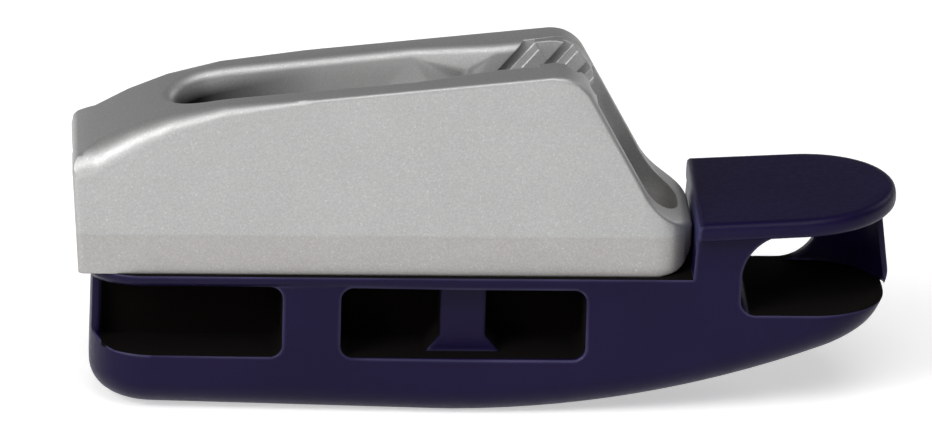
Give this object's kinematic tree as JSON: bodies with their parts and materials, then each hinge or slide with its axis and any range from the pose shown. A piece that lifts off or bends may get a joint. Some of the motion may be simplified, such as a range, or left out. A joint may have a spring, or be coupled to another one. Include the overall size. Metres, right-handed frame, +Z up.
{
  "type": "jam cleat",
  "caption": "Jam cleat: a toothed cast aluminium body with a tapering rope slot, screwed to a boat-shaped nylon base with side windows and an eye in its nose.",
  "frame": {"origin": "on the plane of the keel's lowest point, under the middle of the whole part", "axes": "+X along the part towards the nose, +Y across towards the far side, +Z up from the keel to the rope slot"},
  "size_m": [0.1096, 0.0262, 0.0479],
  "materials": {
    "cleat_metal": "fine blasted, hard anodised silver grey",
    "base_nylon": "moulded, satin dark navy",
    "screw_steel": "plain stainless"
  },
  "bodies": {
    "root": {"cleat_body": "cleat_metal", "streamlined_base": "base_nylon", "cleat_screws": "screw_steel"}
  },
  "joints": []
}
